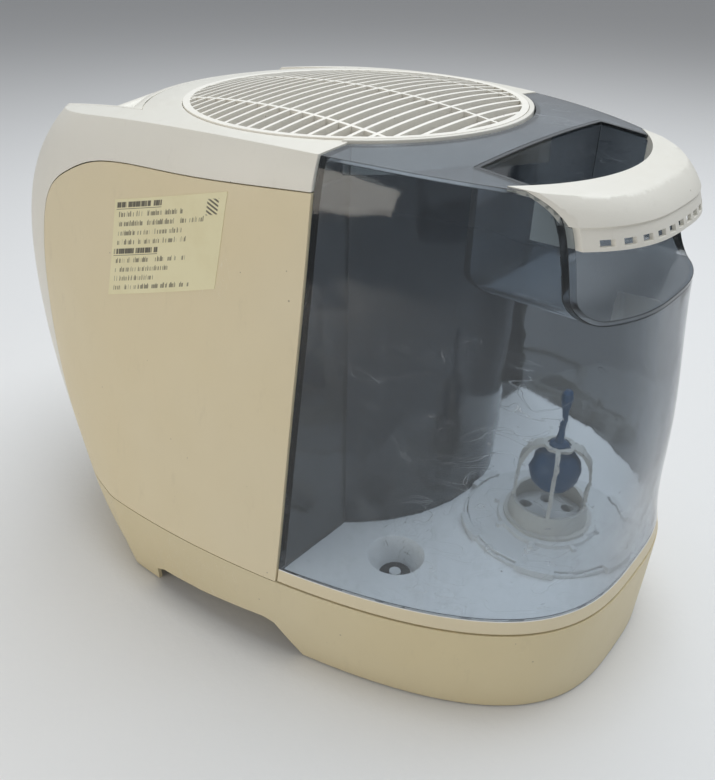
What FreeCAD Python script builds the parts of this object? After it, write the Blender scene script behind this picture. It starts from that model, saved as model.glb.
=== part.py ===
"""Cool mist humidifier: a water tray, a lift-off fan housing over a wick filter, and a lift-off tank.

Frame: millimetres, +Z up, origin on the ground under the middle of the body. The controls face -Y,
the tank end faces +Y, and the body is symmetric about X = 0.
"""
import FreeCAD, Part
import Sketcher
import math
import os

from FreeCAD import Placement, Rotation, Vector

doc = FreeCAD.newDocument("Humidifier")
sheet = doc.addObject("Spreadsheet::Sheet", "Sizes")

SIZES = {
    # body shell
    "wall": 2.6,
    "seam_gap": 0.5,
    "widest_y": -51.0,
    "tray_top": 64.0,
    "split_y": 73.0,
    "crown_radius": 1222.0,
    "crown_top": 312.4,
    # air path
    "air_y": 9.0,
    "grille_radius": 101.4,
    "grille_opening": 98.5,
    "grille_dome": 8.0,
    "grille_depth": 9.0,
    "slat_width": 2.0,
    "slat_pitch": 8.4,
    "rib_pitch": 65.0,
    "ring_radius": 104.5,
    "duct_radius": 95.7,
    "duct_wall": 2.5,
    "duct_bottom": 214.0,
    "duct_top": 298.0,
    # fan and motor
    "fan_radius": 90.0,
    "fan_hub_radius": 24.0,
    "fan_hub_height": 20.0,
    "fan_bottom": 268.0,
    "shaft_radius": 3.0,
    "motor_radius": 36.0,
    "motor_height": 34.0,
    "motor_bottom": 224.0,
    # wick
    "wick_outer": 71.0,
    "wick_inner": 42.0,
    "wick_height": 168.0,
    "tray_floor": 32.0,
    "tray_plate": 2.6,
    # tank
    "bay_radius": 105.5,
    "tank_wall": 2.4,
    "tank_floor_top": 73.5,
    "tank_floor_bottom": 65.0,
    "floor_plate": 4.0,
    "cap_y": 171.0,
    "cap_radius": 49.0,
    "collar_inner": 49.4,
    "collar_outer": 53.5,
    "collar_height": 4.5,
    "step_radius": 30.5,
    "cage_radius": 25.0,
    "cage_top": 133.4,
    "float_radius": 15.5,
    "float_height": 115.2,
    "well_x": 87.0,
    "well_y": 118.0,
    "well_mouth": 17.0,
    "well_bottom": 11.0,
    "well_depth": 17.0,
    "pocket_front": 136.0,
    "pocket_half": 64.0,
    "pocket_floor": 243.0,
    "grip_half": 62.5,
    "grip_bottom": 276.0,
    "grip_crease": 286.5,
    "grip_curve": 115.0,
    "grip_curve_y": 68.0,
    # controls
    "knob_radius": 18.0,
    "knob_height": 16.0,
    "knob_bar": 13.0,
    "knob_x": 33.0,
    "fascia_half": 98.0,
    "fascia_crest": 129.0,
    "fascia_slope": 38.0,
    "fascia_wall": 3.0,
    # supply cord
    "cord_radius": 2.4,
    "cord_z": 3.2,
    "hank_length": 128.0,
    "hank_width": 40.0,
    "hank_height": 16.0,
}

for row, (alias, value) in enumerate(SIZES.items(), start=1):
    sheet.set("A%d" % row, alias)
    sheet.set("B%d" % row, repr(value))
    sheet.setAlias("B%d" % row, alias)
doc.recompute()


def size(alias):
    """Value of one cell of the sheet."""
    return float(sheet.get(alias))


X, Y, Z = Vector(1, 0, 0), Vector(0, 1, 0), Vector(0, 0, 1)
NO_TURN = Rotation()
NODES = []


# ---- helpers for document objects -------------------------------------------------------------
def place(item, at, turn=NO_TURN):
    """Puts an object at a point whose coordinates are numbers or sheet expressions."""
    numbers = [0.0 if isinstance(c, str) else c for c in at]
    item.Placement = Placement(Vector(*numbers), turn)
    for axis, coordinate in zip("xyz", at):
        if isinstance(coordinate, str):
            item.setExpression("Placement.Base." + axis, coordinate)
    return item


def primitive(kind, name, dims, at=(0, 0, 0), turn=NO_TURN):
    """Part primitive; dims maps a property to a number or a sheet expression."""
    item = doc.addObject("Part::" + kind, name)
    for prop, value in dims.items():
        if isinstance(value, str):
            item.setExpression(prop, value)
        else:
            setattr(item, prop, value)
    return place(item, at, turn)


def cylinder(name, radius, height, at=(0, 0, 0), turn=NO_TURN):
    return primitive("Cylinder", name, {"Radius": radius, "Height": height}, at, turn)


def cone(name, bottom, top, height, at=(0, 0, 0), turn=NO_TURN):
    return primitive("Cone", name, {"Radius1": bottom, "Radius2": top, "Height": height}, at, turn)


def box(name, length, width, height, at=(0, 0, 0), turn=NO_TURN):
    return primitive("Box", name, {"Length": length, "Width": width, "Height": height}, at, turn)


def cut(name, base, tool):
    item = doc.addObject("Part::Cut", name)
    item.Base, item.Tool = base, tool
    return item


def fuse(name, *shapes):
    item = doc.addObject("Part::MultiFuse", name)
    item.Shapes = list(shapes)
    return item


def common(name, *shapes):
    item = doc.addObject("Part::MultiCommon", name)
    item.Shapes = list(shapes)
    return item


def ring(name, outer, inner, height, at=(0, 0, 0), turn=NO_TURN):
    """Plain tube."""
    return cut(
        name,
        cylinder(name + "_outside", outer, height, at, turn),
        cylinder(name + "_inside", inner, height, at, turn),
    )


def feature(name, shape, at=(0, 0, 0), turn=NO_TURN):
    """Object for a shape that is made with Part's own functions."""
    item = doc.addObject("Part::Feature", name)
    item.Shape = shape
    item.Placement = Placement(Vector(*at), turn)
    return item


def keep(item, label):
    """Marks an object as one sub-part of the humidifier."""
    item.Label = label
    NODES.append(item)
    return item


def origin_plane(body, role):
    return next(f for f in body.Origin.OriginFeatures if f.Role == role)


def sketch_polygon(body, name, plane, points):
    """Closed polygon whose corners are held from the sketch origin by dimensions."""
    sketch = body.newObject("Sketcher::SketchObject", name)
    sketch.AttachmentSupport = [(origin_plane(body, plane), "")]
    sketch.MapMode = "FlatFace"
    flat = [[expression_value(c) for c in point] for point in points]
    count = len(points)
    for i in range(count):
        start, end = Vector(*flat[i], 0), Vector(*flat[(i + 1) % count], 0)
        sketch.addGeometry(Part.LineSegment(start, end), False)
    for i in range(count):
        sketch.addConstraint(Sketcher.Constraint("Coincident", i, 2, (i + 1) % count, 1))
    for i, point in enumerate(points):
        for kind, value, number in zip(("DistanceX", "DistanceY"), point, flat[i]):
            place_at = sketch.addConstraint(Sketcher.Constraint(kind, -1, 1, i, 1, number))
            if isinstance(value, str):
                sketch.setExpression("Constraints[%d]" % place_at, value)
    return sketch


def expression_value(coordinate):
    """Number behind a coordinate such as 'Sizes.knob_radius - 2'."""
    if not isinstance(coordinate, str):
        return float(coordinate)
    total, sign = 0.0, 1.0
    for word in coordinate.split():
        if word in "+-":
            sign = 1.0 if word == "+" else -1.0
        else:
            total += sign * (size(word[6:]) if word.startswith("Sizes.") else float(word))
    return total


def turned(label, profile, at=(0, 0, 0), turn=NO_TURN):
    """Body turned about its own Z axis; profile is a list of (radius, height) corners."""
    body = doc.addObject("PartDesign::Body", label + "_body")
    sketch = sketch_polygon(body, label + "_profile", "XZ_Plane", profile)
    spin = body.newObject("PartDesign::Revolution", label + "_turning")
    spin.Profile = sketch
    spin.ReferenceAxis = (sketch, ["V_Axis"])
    spin.Angle = 360
    body.Tip = spin
    return place(body, at, turn)


# ---- outline of the body ----------------------------------------------------------------------
# One row per level: height, half width, reach to the front, reach to the rear, squareness of the
# front corners, then how square the rear corners are along the body and across it.
TRAY_LEVELS = [
    (0.8, 151.0, 131.0, 230.4, 2.2, 1.66, 3.0),
    (30.0, 156.5, 158.0, 231.1, 2.2, 1.66, 3.0),
    (64.0, 160.0, 178.0, 231.5, 2.2, 1.66, 3.0),
]
BODY_LEVELS = [
    (64.0, 160.0, 178.0, 231.5, 2.2, 1.66, 3.0),
    (130.0, 148.8, 222.0, 226.8, 2.7, 1.8, 2.6),
    (200.0, 137.0, 231.4, 221.6, 3.2, 1.8, 2.6),
    (250.0, 129.0, 213.0, 216.3, 3.6, 1.7, 2.8),
    (275.0, 125.3, 190.0, 213.2, 3.8, 1.7, 2.8),
    (288.0, 122.6, 174.0, 207.5, 3.9, 1.75, 2.9),
    (300.0, 118.6, 158.0, 194.5, 3.9, 1.9, 3.0),
    (314.0, 112.5, 132.0, 177.0, 3.9, 2.1, 3.1),
]
POINTS_PER_QUARTER = 9


def edge_distance(x, y, across, along):
    """How far out along (x, y) the curve |x|^across + |y|^along = 1 is met."""
    distance = 1.0
    for _ in range(30):
        total = (distance * x) ** across + (distance * y) ** along
        distance *= total ** (-2 / (across + along))
    return distance


def outline(level, inset):
    """Closed smooth curve round the body at one level, moved in by inset along its own normal."""
    height, half_width, front, rear, front_square, rear_along, rear_across = level
    middle = size("widest_y")
    count = 4 * POINTS_PER_QUARTER
    points = []
    for i in range(count):
        angle = 2 * math.pi * i / count
        c, s = math.cos(angle), math.sin(angle)
        along, across = (rear_along, rear_across) if s >= 0 else (front_square, front_square)
        reach = rear - middle if s >= 0 else front + middle
        spread = edge_distance(abs(c), abs(s), across, along)
        normal = Vector(
            math.copysign(across * abs(c * spread) ** (across - 1), c) / half_width,
            math.copysign(along * abs(s * spread) ** (along - 1), s) / reach,
            0,
        ).normalize()
        at = Vector(half_width * spread * c, middle + reach * spread * s, height)
        points.append(at - normal * inset)
    curve = Part.BSplineCurve()
    curve.interpolate(points, PeriodicFlag=True, Parameters=[i / count for i in range(count + 1)])
    return Part.Wire([curve.toShape()])


def loft(levels, inset):
    """Closed solid through the outlines of the levels."""
    degree = min(3, len(levels) - 1)
    return Part.makeLoft([outline(level, inset) for level in levels], True, False, False, degree)


def prism(points, thickness, direction):
    """Straight prism on a closed polygon."""
    face = Part.Face(Part.makePolygon(points + points[:1]))
    return face.extrude(direction * thickness)


def slab(low, high):
    """Box between two corners."""
    return Part.makeBox(high[0] - low[0], high[1] - low[1], high[2] - low[2], Vector(*low))


def upright(radius, low, high, at_x=0.0, at_y=0.0):
    """Vertical cylinder between two heights."""
    return Part.makeCylinder(radius, high - low, Vector(at_x, at_y, low), Z)


def crown(drop):
    """Large sphere that shapes the crowned top, lowered by drop."""
    radius = size("crown_radius")
    centre = Vector(0, size("air_y"), size("crown_top") - radius - drop)
    return Part.makeSphere(radius, centre)


def crowned(solid, drop=0.0):
    return solid.common(crown(drop)).Solids[0]


FAR = 400.0
AIR_Y = size("air_y")
SPLIT_Y = size("split_y")
WALL = size("wall")
GAP = size("seam_gap")
TRAY_TOP = size("tray_top")

body_outside = crowned(loft(BODY_LEVELS, 0.0))
body_inside = crowned(loft(BODY_LEVELS, WALL), WALL)


# ---- water tray -------------------------------------------------------------------------------
GLAND_AT = Vector(-138.0, -75.0, 17.0)
GLAND_RADIUS = 6.0
FOOT_POINTS = [(-92.0, -92.0), (92.0, -92.0), (-88.0, 128.0), (88.0, 128.0)]
ARCH = [(-39.0, -1.0), (-35.0, 14.0), (-27.0, 18.0), (9.0, 20.0), (59.0, 26.0), (67.0, 24.0), (85.0, -1.0)]
TRAY_FLOOR = size("tray_floor")
TRAY_UNDER = TRAY_FLOOR - size("tray_plate")

tray_outside = loft(TRAY_LEVELS, 0.0)
tray_inside = loft(TRAY_LEVELS, WALL)


def tray_wall_shape():
    """Outer wall from the ground to the seam, with a hand arch through both sides."""
    arch = prism([Vector(-FAR, y, z) for y, z in ARCH], 2 * FAR, X)
    gland_hole = Part.makeCylinder(GLAND_RADIUS, 30.0, GLAND_AT, X * -1)
    return tray_outside.cut(tray_inside).cut(arch).cut(gland_hole)


def foot_post_shape():
    """One short post under the tray's floor for each foot."""
    return Part.makeCompound([upright(11.0, 2.5, TRAY_UNDER, x, y) for x, y in FOOT_POINTS])


keep(feature("tray", tray_wall_shape()), "water_tray")
tray_plate = tray_inside.common(slab((-FAR, -FAR, TRAY_UNDER), (FAR, FAR, TRAY_FLOOR)))
keep(feature("tray_plate", tray_plate), "tray_floor")
keep(feature("foot_bosses", foot_post_shape()), "foot_posts")
keep(
    ring("seat", "Sizes.wick_outer + 4", "Sizes.wick_outer + 1.5", 8.0,
         (0, "Sizes.air_y", "Sizes.tray_floor")),
    "wick_seat",
)
post_base = cylinder("post_base", 7.0, 6.0, ("Sizes.well_x", "Sizes.well_y", "Sizes.tray_floor"))
post_pin = cylinder("post_pin", 3.5, 15.0, ("Sizes.well_x", "Sizes.well_y", "Sizes.tray_floor"))
keep(fuse("post", post_base, post_pin), "valve_post")

feet = [
    cylinder("foot_%d" % i, 9.0, 2.5, (x, y, 0.0)) for i, (x, y) in enumerate(FOOT_POINTS)
]
keep(fuse("feet", *feet), "rubber_feet")

keep(
    ring("wick", "Sizes.wick_outer", "Sizes.wick_inner", "Sizes.wick_height",
         (0, "Sizes.air_y", "Sizes.tray_floor")),
    "wick_filter",
)
wick_top = "Sizes.tray_floor + Sizes.wick_height"
keep(
    ring("wick_ring", "Sizes.wick_outer - 1", "Sizes.wick_inner - 3", 4.0, (0, "Sizes.air_y", wick_top)),
    "wick_top_ring",
)


# ---- housing: hood, side panels, walls --------------------------------------------------------
HOOD_TOP = size("crown_top") + 2.0
PANEL_EDGE = [
    (SPLIT_Y + 5.0, 289.5), (32.0, 287.0), (-7.0, 285.0), (-39.0, 284.0), (-67.0, 282.0),
    (-92.0, 277.0), (-112.0, 269.0), (-130.0, 259.0), (-142.0, 246.0), (-148.0, 229.0),
    (-150.0, 205.0), (-146.0, 170.0), (-132.0, 110.0), (-112.0, TRAY_TOP - 5.0),
]


def panel_tool(low_x, inset):
    """Prism along X with the side panel's outline."""
    first, last = PANEL_EDGE[0], PANEL_EDGE[-1]
    edge = Part.BSplineCurve()
    edge.interpolate([Vector(low_x, y + inset, z - inset) for y, z in PANEL_EDGE])
    start = Vector(low_x, first[0] + inset, first[1] - inset)
    end = Vector(low_x, last[0] + inset, last[1] - inset)
    corner = Vector(low_x, start.y, end.z)
    wire = Part.Wire([edge.toShape(), Part.makeLine(end, corner), Part.makeLine(corner, start)])
    return Part.Face(wire).extrude(X * 200.0)


def fascia_space(drop, half_width):
    """Space in front of the deck's crest and above the sloping control fascia."""
    slope = math.radians(size("fascia_slope"))
    crest = size("fascia_crest")
    crest_z = 305.2 - drop
    reach = 120.0
    low = crest_z - reach * math.tan(slope)
    top_radius = crest - 60.0
    top_z = crest_z + 60.0 * math.tan(slope)
    hill = Part.makeCone(crest + reach, top_radius, top_z - low, Vector(0, AIR_Y, low), Z)
    block = slab((-half_width, -FAR, low), (half_width, AIR_Y - 60.0, top_z - 1.0))
    return block.cut(hill)


INTAKE_HALF, INTAKE_LOW, INTAKE_HIGH = 72.0, 96.0, 172.0


def intake_block(margin):
    return slab(
        (-INTAKE_HALF - margin, -FAR, INTAKE_LOW - margin),
        (INTAKE_HALF + margin, -100.0, INTAKE_HIGH + margin),
    )


def housing_shell():
    """Whole lift-off skin before it is split into hood, panels, fascia and intake."""
    block = slab((-FAR, -FAR, TRAY_TOP + GAP), (FAR, SPLIT_Y - 0.5, FAR))
    skin = body_outside.cut(body_inside).common(block)
    ledge = upright(size("ring_radius"), size("duct_top"), 308.9, 0, AIR_Y).common(crown(0))
    boss = upright(size("ring_radius"), 292.0, 308.9, 0, AIR_Y)
    boss = boss.cut(slab((-FAR, -FAR, 0), (FAR, SPLIT_Y - 3.0, FAR)))
    seat = upright(size("grille_radius") + 0.3, 303.0, FAR, 0, AIR_Y)
    throat = upright(size("duct_radius") + size("duct_wall"), 280.0, FAR, 0, AIR_Y)
    return skin.fuse([ledge, boss]).cut(seat).cut(throat)


skin = housing_shell()
fascia_gap = fascia_space(size("fascia_wall") + 0.4, size("fascia_half") + 0.4)


def hood_shape():
    """Top cover and front wrap in one moulding."""
    shape = skin.cut(fascia_gap).cut(intake_block(GAP))
    for low_x in (-200.0, 0.0):
        shape = shape.cut(panel_tool(low_x, 0.0))
    return shape


def fascia_shape():
    """Sloping control panel with a cheek at each end and a hole for each knob shaft."""
    outer = fascia_space(size("fascia_wall"), size("fascia_half"))
    inner = fascia_space(0.0, size("fascia_half") - 2.5)
    tray = outer.common(body_outside).cut(inner)
    for side in (-1, 1):
        centre, axis = knob_seat(side)
        tray = tray.cut(Part.makeCylinder(4.2, 30.0, centre - axis * 15.0, axis))
    return tray


def knob_seat(side):
    """Point on the fascia under one knob, and the fascia's outward normal there."""
    slope = math.radians(size("fascia_slope"))
    x = side * size("knob_x")
    reach = 166.0
    radius_out = reach - size("fascia_crest")
    y = AIR_Y - math.sqrt(reach ** 2 - x ** 2)
    outward = Vector(x, y - AIR_Y, 0).normalize()
    point = Vector(x, y, 305.2 - radius_out * math.tan(slope))
    return point, outward * math.sin(slope) + Z * math.cos(slope)


def front_intake_shape():
    """Louvred panel in the hood's front face."""
    panel = skin.common(intake_block(0.0))
    slot_count = 9
    for i in range(slot_count):
        z = INTAKE_LOW + 6.0 + i * 7.6
        panel = panel.cut(slab((-INTAKE_HALF + 6.0, -FAR, z), (-2.0, 0.0, z + 3.4)))
        panel = panel.cut(slab((2.0, -FAR, z), (INTAKE_HALF - 6.0, 0.0, z + 3.4)))
    return panel


keep(feature("hood_shell", hood_shape()), "hood")
keep(feature("panel_right", skin.common(panel_tool(0.0, GAP))), "side_panel_right")
keep(feature("panel_left", skin.common(panel_tool(-200.0, GAP))), "side_panel_left")
keep(feature("fascia", fascia_shape()), "control_fascia")
keep(feature("front_intake", front_intake_shape()), "front_intake")


def rear_wall_shape():
    """Wall between the wick chamber and the tank: flat wings and a round bay."""
    low, high = TRAY_TOP + 1.0, 291.0
    bay_outer = size("ring_radius") - 0.5
    bay = upright(bay_outer, low, high, 0, AIR_Y).cut(upright(bay_outer - 2.5, 0, FAR, 0, AIR_Y))
    bay = bay.common(slab((-FAR, SPLIT_Y - 3.0, 0), (FAR, FAR, FAR)))
    wings = slab((-FAR, SPLIT_Y - 3.0, low), (FAR, SPLIT_Y - 0.5, high))
    wings = wings.cut(upright(bay_outer - 0.5, 0, FAR, 0, AIR_Y)).common(body_inside)
    return bay.fuse(wings).removeSplitter()


keep(feature("rear_wall_shell", rear_wall_shape()), "rear_wall")


# ---- outlet grille ----------------------------------------------------------------------------
def dome(name, drop):
    """Sphere whose cap is the grille's dome, lowered by drop."""
    rise = size("grille_dome")
    radius = (size("grille_opening") ** 2 + rise ** 2) / (2 * rise)
    top = 308.6 + rise - drop
    return primitive("Sphere", name, {"Radius": radius}, (0, "Sizes.air_y", top - radius))


def grille_bars():
    bars = []
    reach = size("grille_opening") + 1.0
    pitch = size("slat_pitch")
    count = int((size("grille_opening") - 4.0) / pitch)
    half = size("slat_width") / 2
    for i in range(-count, count + 1):
        at = (-reach, AIR_Y + i * pitch - half, 290.0)
        bars.append(box("slat_%d" % (i + count), 2 * reach, "Sizes.slat_width", 40.0, at))
    for i in (-1, 0, 1):
        at = (i * size("rib_pitch") - half, AIR_Y - reach, 290.0)
        bars.append(box("rib_%d" % (i + 1), "Sizes.slat_width", 2 * reach, 40.0, at))
    return bars


bar_field = fuse("bar_field", *grille_bars())
dome_skin = cut("dome_skin", dome("dome_top", 0.0), dome("dome_under", size("grille_depth")))
bar_disc = cylinder("bar_disc", "Sizes.grille_opening - 1", 60.0, (0, "Sizes.air_y", 270.0))
bars = common("bars", bar_field, dome_skin, bar_disc)
flange = ring("flange", "Sizes.grille_radius", "Sizes.grille_opening - 1.2", 6.0, (0, "Sizes.air_y", 303.0))
keep(fuse("grille", bars, flange), "outlet_grille")


# ---- air duct, motor and fan ------------------------------------------------------------------
duct_tube = ring(
    "duct_tube", "Sizes.duct_radius + Sizes.duct_wall", "Sizes.duct_radius",
    "Sizes.duct_top - Sizes.duct_bottom", (0, "Sizes.air_y", "Sizes.duct_bottom"),
)
duct_lip = ring(
    "duct_lip", "Sizes.duct_radius + Sizes.duct_wall + 1.5", "Sizes.duct_radius", 3.0,
    (0, "Sizes.air_y", "Sizes.duct_bottom"),
)
keep(fuse("duct", duct_tube, duct_lip), "air_duct")

ARM_ANGLES = (90.0, 210.0, 330.0)
BRACKET_Z = 258.0


def bracket_shape():
    """Three-armed spider that carries the motor in the duct."""
    hub_radius = size("motor_radius") + 3.0
    hub = upright(hub_radius, BRACKET_Z, BRACKET_Z + 3.0, 0, AIR_Y)
    for angle in ARM_ANGLES:
        arm = slab((20.0, -6.0, BRACKET_Z), (size("duct_radius") - 0.3, 6.0, BRACKET_Z + 3.0))
        arm.rotate(Vector(0, 0, 0), Z, angle)
        arm.translate(Vector(0, AIR_Y, 0))
        hub = hub.fuse(arm)
    hub = hub.cut(upright(8.0, 0, FAR, 0, AIR_Y))
    for x, y in screw_points():
        hub = hub.cut(upright(2.2, 0, FAR, x, y))
    return hub.removeSplitter()


def screw_points(radius=27.0):
    turns = [math.radians(angle) for angle in ARM_ANGLES]
    return [(radius * math.cos(turn), AIR_Y + radius * math.sin(turn)) for turn in turns]


keep(feature("bracket", bracket_shape()), "motor_bracket")

motor_can = turned(
    "motor",
    [(3.06, 0.0), ("Sizes.motor_radius - 4", 0.0), ("Sizes.motor_radius", 4.0),
     ("Sizes.motor_radius", "Sizes.motor_height - 3"), ("Sizes.motor_radius - 3", "Sizes.motor_height"),
     (3.06, "Sizes.motor_height")],
    (0, "Sizes.air_y", "Sizes.motor_bottom"),
)
keep(motor_can, "fan_motor")

shaft_bottom = size("motor_bottom") + 4.0
keep(
    cylinder("shaft", "Sizes.shaft_radius", 64.0, (0, "Sizes.air_y", shaft_bottom)),
    "fan_shaft",
)


def bolt(name, x, y, head_z):
    head = cylinder(name + "_head", 3.6, 2.4, (x, y, head_z))
    stem = cylinder(name + "_stem", 2.0, 2.8, (x, y, head_z - 2.8))
    return fuse(name, head, stem)


bolts = [
    bolt("motor_bolt_%d" % i, x, y, BRACKET_Z + 3.0) for i, (x, y) in enumerate(screw_points())
]
keep(fuse("motor_bolts", *bolts), "motor_screws")


def blade_shape(angle):
    """One twisted blade, lofted between a steep root and a flatter tip."""
    sections = []
    for radius, pitch, chord in ((22.0, 42.0, 30.0), (55.0, 32.0, 40.0), (size("fan_radius"), 24.0, 46.0)):
        lean = math.radians(pitch)
        along = Vector(0, math.cos(lean), math.sin(lean)) * (chord / 2)
        thick = Vector(0, -math.sin(lean), math.cos(lean)) * 0.9
        centre = Vector(radius, 0, 0)
        corners = [centre - along - thick, centre + along - thick, centre + along + thick,
                   centre - along + thick]
        sections.append(Part.makePolygon(corners + corners[:1]))
    blade = Part.makeLoft(sections, True, True)
    blade.rotate(Vector(0, 0, 0), Z, angle)
    return blade


def fan_shape():
    low = size("fan_bottom")
    hub = Part.makeCylinder(size("fan_hub_radius"), size("fan_hub_height"), Vector(0, 0, low), Z)
    blade_count = 5
    for i in range(blade_count):
        blade = blade_shape(i * 360.0 / blade_count)
        blade.translate(Vector(0, 0, low + size("fan_hub_height") / 2))
        hub = hub.fuse(blade)
    hub = hub.cut(Part.makeCylinder(size("shaft_radius"), 60.0, Vector(0, 0, low - 10.0), Z))
    hub.translate(Vector(0, AIR_Y, 0))
    return hub.removeSplitter()


keep(feature("fan", fan_shape()), "fan_blades")
nut_z = size("fan_bottom") + size("fan_hub_height")
keep(
    ring("fan_nut_ring", 6.0, "Sizes.shaft_radius", 3.5, (0, "Sizes.air_y", nut_z + 0.1)),
    "fan_nut",
)


# ---- controls ---------------------------------------------------------------------------------
KNOB_LIFT = 0.6


def axis_turn(axis):
    return Rotation(Z, axis)


def knob(label, side):
    """Low skirted disc with a thick round-topped finger bar across it."""
    centre, axis = knob_seat(side)
    turn = axis_turn(axis)
    skirt = turned(
        label + "_skirt",
        [(2.5, 0.0), ("Sizes.knob_radius", 0.0), ("Sizes.knob_radius", 3.0),
         ("Sizes.knob_radius - 1", 5.0), ("Sizes.knob_radius - 4", 6.5), (2.5, 7.0)],
        tuple(centre + axis * KNOB_LIFT), turn,
    )
    half_width, half_length = size("knob_bar") / 2, size("knob_radius") - 1.5
    crest = size("knob_height") - half_width
    bar = slab((-half_length, -half_width, 4.0), (half_length, half_width, crest))
    bar = bar.fuse(Part.makeCylinder(half_width, 2 * half_length, Vector(-half_length, 0, crest), X))
    bar = bar.cut(Part.makeCylinder(2.5, 9.0, Vector(0, 0, 0), Z)).removeSplitter()
    grip = feature(label + "_bar", bar, tuple(centre + axis * KNOB_LIFT), turn)
    return keep(fuse(label + "_whole", skirt, grip), label)


def control_box(label, side, length, width, depth):
    """Switch or humidistat fixed behind the fascia."""
    centre, axis = knob_seat(side)
    turn = axis_turn(axis)
    body = Part.makeBox(length, width, depth)
    body.translate(Vector(-length / 2, -width / 2, 0))
    neck = Part.makeCylinder(4.0, 3.6, Vector(0, 0, depth - 0.2), Z)
    hole = Part.makeCylinder(2.56, 14.0, Vector(0, 0, depth - 8.0), Z)
    low = centre - axis * (depth + 3.8)
    return keep(feature(label + "_case", body.fuse(neck).cut(hole), tuple(low), turn), label)


def control_shaft(label, side):
    """Shaft that the knob is pressed on."""
    centre, axis = knob_seat(side)
    return keep(cylinder(label + "_rod", 2.5, 17.0, tuple(centre - axis * 7.5), axis_turn(axis)), label)


knob("speed_knob", 1)
knob("humidity_knob", -1)
control_box("speed_switch", 1, 30.0, 26.0, 18.0)
control_box("humidistat", -1, 34.0, 30.0, 20.0)
control_shaft("speed_shaft", 1)
control_shaft("humidity_shaft", -1)

LABEL_CORNERS = [(-70.0, 204.0), (18.0, 230.0), (24.0, 282.0), (-62.0, 262.0)]


def label_shape():
    """Paper label that lies on the right side panel."""
    patch = prism([Vector(60.0, y, z) for y, z in LABEL_CORNERS], 140.0, X)
    outer = loft(BODY_LEVELS, -0.25)
    return outer.cut(loft(BODY_LEVELS, 0.0)).common(patch)


# ---- tank -------------------------------------------------------------------------------------
TANK_FRONT = SPLIT_Y + 0.5
FLOOR_TOP = size("tank_floor_top")
FLOOR_LOW = size("tank_floor_bottom")
TANK_WALL = size("tank_wall")


def tank_block(inset, low, bay, front, drop):
    """Solid with the tank's outside or inside form."""
    solid = crowned(loft(BODY_LEVELS, inset), drop)
    solid = solid.common(slab((-FAR, front, low), (FAR, FAR, FAR)))
    return solid.cut(upright(bay, 0, FAR, 0, AIR_Y))


def pocket(grow, top):
    """Space for the fingers behind the grip, open to the top and to the end of the tank."""
    half = size("pocket_half") + grow
    front = size("pocket_front") - grow
    low = size("pocket_floor") - grow
    solid = slab((-half, front, low), (half, FAR, top))
    corners = [e for e in solid.Edges if runs_along(e, Y) and abs(e.BoundBox.ZMin - low) < 0.01]
    corners += [e for e in solid.Edges if runs_along(e, X) and is_low_front(e, front, low)]
    return solid.makeFillet(12.0 + grow, corners)


def runs_along(edge, direction):
    ends = [vertex.Point for vertex in edge.Vertexes]
    return abs((ends[1] - ends[0]).normalize().dot(direction)) > 0.999


def is_low_front(edge, front, low):
    bounds = edge.BoundBox
    return abs(bounds.YMin - front) < 0.01 and abs(bounds.ZMin - low) < 0.01


def grip_edge(grow):
    """Upright cylinder whose far side is the grip's inner edge."""
    return upright(size("grip_curve") + grow, 0, FAR, 0, size("grip_curve_y"))


def tank_outside():
    return tank_block(0.4, FLOOR_TOP, size("bay_radius"), TANK_FRONT, 0.4)


def tank_shell_shape():
    """Outer walls and top of the tank, open below and open where the pocket sits."""
    inside = tank_block(
        0.4 + TANK_WALL, FLOOR_TOP - 1.0, size("bay_radius") + TANK_WALL, TANK_FRONT + TANK_WALL,
        0.4 + TANK_WALL,
    )
    return tank_outside().cut(inside).cut(pocket(TANK_WALL, FAR))


def tank_pocket_shape():
    """Thin-walled finger pocket set into the top and end of the tank."""
    return tank_outside().common(pocket(TANK_WALL, FAR)).cut(pocket(0.0, FAR + 1.0))


def tank_floor_shape():
    """Plate under the shell, with a skirt that shows as a band, a neck for the cap and a well."""
    form = tank_block(0.2, FLOOR_LOW, size("bay_radius"), TANK_FRONT, 0.0)
    slice_box = slab((-FAR, -FAR, FLOOR_LOW), (FAR, FAR, FLOOR_TOP))
    block = form.common(slice_box)
    hollow = tank_block(3.2, FLOOR_LOW - 1.0, size("bay_radius") + 3.0, TANK_FRONT + 3.0, 0.0)
    hollow = hollow.common(slab((-FAR, -FAR, 0), (FAR, FAR, FLOOR_TOP - size("floor_plate"))))
    plate = block.cut(hollow)
    neck = upright(size("collar_inner") + 2.4, 54.0, FLOOR_TOP - 1.0, 0, size("cap_y"))
    plate = plate.fuse(neck).cut(upright(size("collar_inner"), 0, FAR, 0, size("cap_y")))
    well = well_cone(2.0).common(slab((-FAR, -FAR, 0), (FAR, FAR, FLOOR_TOP - 0.5)))
    return plate.fuse(well).cut(well_cone(0.0)).cut(upright(4.6, 0, FAR, size("well_x"), size("well_y")))


def well_cone(grow):
    """Tapered well, grown outwards and down by grow."""
    low = FLOOR_TOP - size("well_depth") - grow
    at = Vector(size("well_x"), size("well_y"), low)
    return Part.makeCone(size("well_bottom") + grow, size("well_mouth") + grow, FLOOR_TOP - low + 0.01, at, Z)


GRIP_PLAN = [(-79.0, 141.0), (79.0, 141.0), (53.5, 218.0), (-53.5, 218.0)]


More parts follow.
